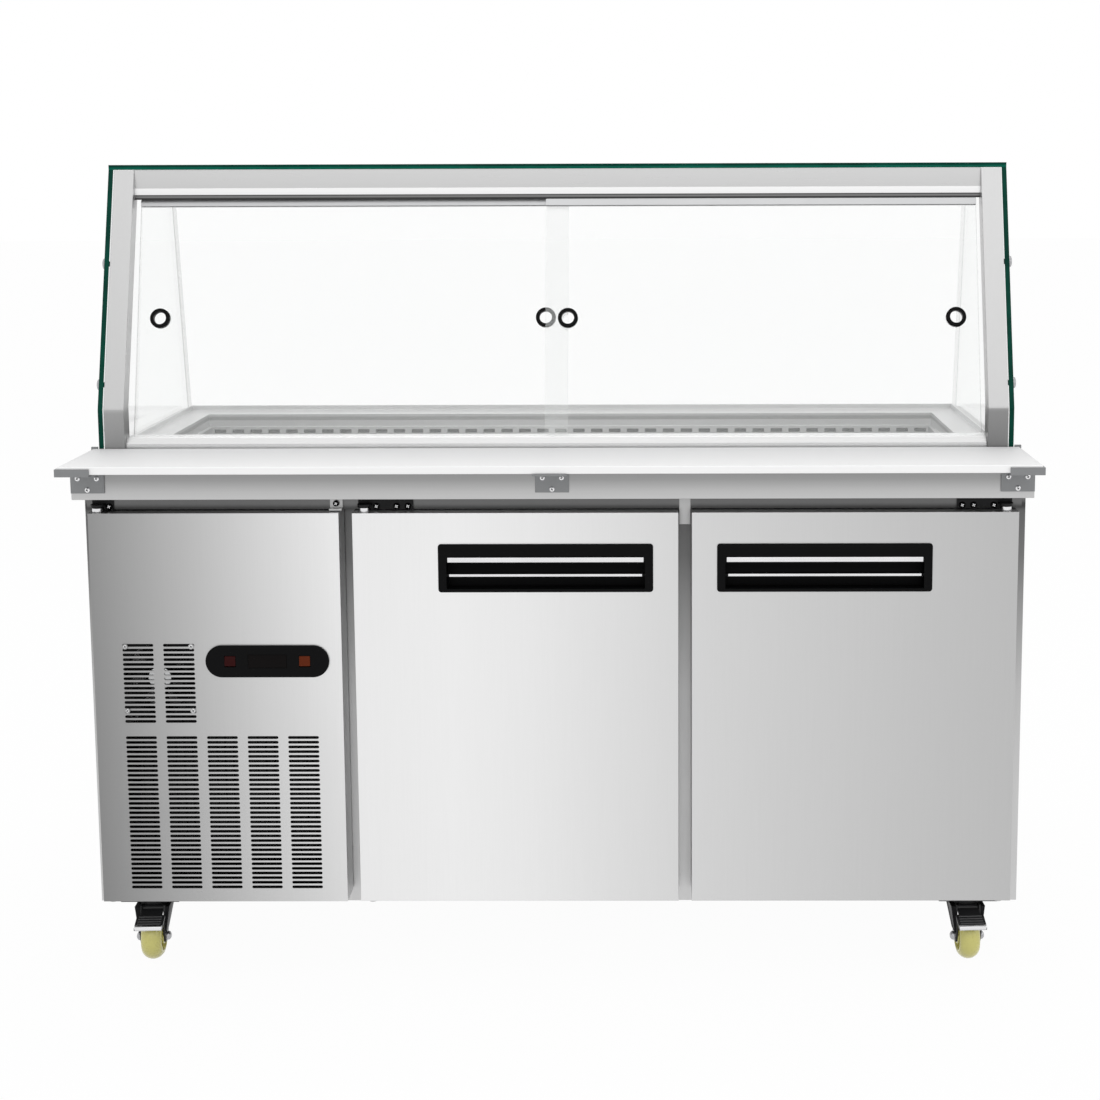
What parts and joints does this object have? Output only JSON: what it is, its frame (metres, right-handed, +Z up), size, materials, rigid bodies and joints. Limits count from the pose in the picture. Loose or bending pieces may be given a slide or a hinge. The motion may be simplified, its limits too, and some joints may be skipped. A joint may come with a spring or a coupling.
{
  "type": "refrigerated salad bar",
  "caption": "Refrigerated salad counter on castors: hinged doors, vented machine panel, cutting board, pan well and a slanted glass canopy with sliding panes.",
  "frame": {"origin": "on the floor under the middle of the outline", "axes": "+X to the operator's right, +Y towards the customer side, +Z up"},
  "size_m": [1.51, 0.8, 1.31],
  "materials": {
    "brushed_steel": "brushed stainless sheet",
    "well_steel": "satin stainless sheet",
    "inner_sheet": "zinc coated sheet over foam",
    "liner_white": "pressed liner over foam",
    "seal_rubber": "soft magnetic seal",
    "black_plastic": "moulded, fine texture",
    "fascia_black": "smooth moulded face",
    "bright_trim": "polished",
    "bright_channel": "anodised extrusion",
    "board_white": "milled polyethylene",
    "bracket_grey": "grey coated sheet",
    "screw_black": "blackened heads",
    "black_metal": "black coated steel",
    "clear_glass": "clear float glass with green edges",
    "castor_tread": "translucent polyurethane",
    "rocker_red": "translucent rocker",
    "rocker_orange": "translucent rocker",
    "coil_fins": "bare fins",
    "compressor_paint": "black enamel",
    "shelf_wire": "plated wire"
  },
  "bodies": {
    "cabinet": {"left_side_panel": "brushed_steel", "right_side_panel": "brushed_steel", "rear_panel": "brushed_steel", "base_panel": "inner_sheet", "bay_partition": "inner_sheet", "front_frame": "brushed_steel", "worktop": "brushed_steel", "pan_well": "well_steel", "shelves": "shelf_wire", "evaporator": "coil_fins", "compressor": "compressor_paint", "condenser": "coil_fins", "hinge_brackets": "black_metal", "panel_catch": "black_metal", "canopy_posts": "brushed_steel", "canopy_beam": "brushed_steel", "bottom_track": "brushed_steel", "top_glass": "clear_glass", "side_glasses": "clear_glass", "customer_glass": "clear_glass", "glass_standoffs": "bright_trim", "board_brackets": "bracket_grey", "board_screws": "screw_black", "caster_plates": "black_metal"},
    "board": {"cutting_board": "board_white"},
    "left_door": {"left_door_skin": "brushed_steel", "left_door_liner": "liner_white", "left_door_gasket": "seal_rubber", "left_handle_housing": "black_plastic", "left_handle_trim": "bright_trim"},
    "right_door": {"right_door_skin": "brushed_steel", "right_door_liner": "liner_white", "right_door_gasket": "seal_rubber", "right_handle_housing": "black_plastic", "right_handle_trim": "bright_trim"},
    "service_door": {"service_panel": "brushed_steel", "control_fascia": "fascia_black", "vent_fan_frame": "black_plastic"},
    "vent_fan": {"vent_fan_rotor": "black_plastic"},
    "condenser_fan": {"condenser_fan_rotor": "black_plastic"},
    "evaporator_fan": {"evaporator_fan_rotor": "black_plastic"},
    "power_rocker": {"power_switch": "rocker_red"},
    "light_rocker": {"light_switch": "rocker_orange"},
    "left_slider": {"left_pane": "clear_glass", "left_pane_channel": "bright_channel", "left_pane_rings": "black_plastic"},
    "right_slider": {"right_pane": "clear_glass", "right_pane_channel": "bright_channel", "right_pane_rings": "black_plastic"},
    "front_left_castor": {"front_left_fork": "black_metal"},
    "front_left_roller": {"front_left_wheel": "castor_tread"},
    "front_left_brake": {"front_left_brake_pedal": "black_metal"},
    "rear_left_castor": {"rear_left_fork": "black_metal"},
    "rear_left_roller": {"rear_left_wheel": "castor_tread"},
    "front_right_castor": {"front_right_fork": "black_metal"},
    "front_right_roller": {"front_right_wheel": "castor_tread"},
    "front_right_brake": {"front_right_brake_pedal": "black_metal"},
    "rear_right_castor": {"rear_right_fork": "black_metal"},
    "rear_right_roller": {"rear_right_wheel": "castor_tread"}
  },
  "joints": [
    {"name": "left_door_swing", "type": "hinge", "parent": "cabinet", "child": "left_door", "pos_m": [-0.299, -0.295, 0.445], "axis": [0, 0, -1], "range_deg": [0, 100]},
    {"name": "right_door_swing", "type": "hinge", "parent": "cabinet", "child": "right_door", "pos_m": [0.716, -0.295, 0.445], "axis": [0, 0, 1], "range_deg": [0, 100]},
    {"name": "service_panel_swing", "type": "hinge", "parent": "cabinet", "child": "service_door", "pos_m": [-0.722, -0.295, 0.445], "axis": [0, 0, -1], "range_deg": [0, 95]},
    {"name": "left_pane_slide", "type": "slide", "parent": "cabinet", "child": "left_slider", "axis": [1, 0, 0], "range_m": [0, 0.675]},
    {"name": "right_pane_slide", "type": "slide", "parent": "cabinet", "child": "right_slider", "axis": [1, 0, 0], "range_m": [-0.675, 0]},
    {"name": "board_lift", "type": "slide", "parent": "cabinet", "child": "board", "axis": [0, 0, 1], "range_m": [0, 0.08]},
    {"name": "vent_fan_spin", "type": "hinge", "parent": "service_door", "child": "vent_fan", "pos_m": [-0.6302, -0.29, 0.4975], "axis": [0, -1, 0], "continuous": true},
    {"name": "condenser_fan_spin", "type": "hinge", "parent": "cabinet", "child": "condenser_fan", "pos_m": [-0.55, -0.11, 0.274], "axis": [0, -1, 0], "continuous": true},
    {"name": "evaporator_fan_spin", "type": "hinge", "parent": "cabinet", "child": "evaporator_fan", "pos_m": [-0.235, 0.17, 0.5], "axis": [1, 0, 0], "continuous": true},
    {"name": "power_switch_rock", "type": "hinge", "parent": "service_door", "child": "power_rocker", "pos_m": [-0.516, -0.309, 0.526], "axis": [1, 0, 0], "range_deg": [0, 16]},
    {"name": "light_switch_rock", "type": "hinge", "parent": "service_door", "child": "light_rocker", "pos_m": [-0.397, -0.309, 0.526], "axis": [1, 0, 0], "range_deg": [0, 16]},
    {"name": "front_left_swivel", "type": "hinge", "parent": "cabinet", "child": "front_left_castor", "pos_m": [-0.676, -0.21, 0.09], "axis": [0, 0, 1], "continuous": true},
    {"name": "front_left_roll", "type": "hinge", "parent": "front_left_castor", "child": "front_left_roller", "pos_m": [-0.67453, -0.23796, 0.0375], "axis": [0.9986, 0.0523, 0], "continuous": true},
    {"name": "front_left_brake_press", "type": "hinge", "parent": "front_left_castor", "child": "front_left_brake", "pos_m": [-0.67459, -0.23696, 0.086], "axis": [0.9986, 0.0523, 0], "range_deg": [0, 5], "stiffness_Nm_per_rad": 0.2, "springref_deg": -5.73},
    {"name": "rear_left_swivel", "type": "hinge", "parent": "cabinet", "child": "rear_left_castor", "pos_m": [-0.676, 0.34, 0.09], "axis": [0, 0, 1], "continuous": true},
    {"name": "rear_left_roll", "type": "hinge", "parent": "rear_left_castor", "child": "rear_left_roller", "pos_m": [-0.67453, 0.31204, 0.0375], "axis": [0.9986, 0.0523, 0], "continuous": true},
    {"name": "front_right_swivel", "type": "hinge", "parent": "cabinet", "child": "front_right_castor", "pos_m": [0.676, -0.21, 0.09], "axis": [0, 0, 1], "continuous": true},
    {"name": "front_right_roll", "type": "hinge", "parent": "front_right_castor", "child": "front_right_roller", "pos_m": [0.67746, -0.23796, 0.0375], "axis": [0.9986, 0.0523, 0], "continuous": true},
    {"name": "front_right_brake_press", "type": "hinge", "parent": "front_right_castor", "child": "front_right_brake", "pos_m": [0.67741, -0.23696, 0.086], "axis": [0.9986, 0.0523, 0], "range_deg": [0, 5], "stiffness_Nm_per_rad": 0.2, "springref_deg": -5.73},
    {"name": "rear_right_swivel", "type": "hinge", "parent": "cabinet", "child": "rear_right_castor", "pos_m": [0.676, 0.34, 0.09], "axis": [0, 0, 1], "continuous": true},
    {"name": "rear_right_roll", "type": "hinge", "parent": "rear_right_castor", "child": "rear_right_roller", "pos_m": [0.67746, 0.31204, 0.0375], "axis": [0.9986, 0.0523, 0], "continuous": true}
  ]
}
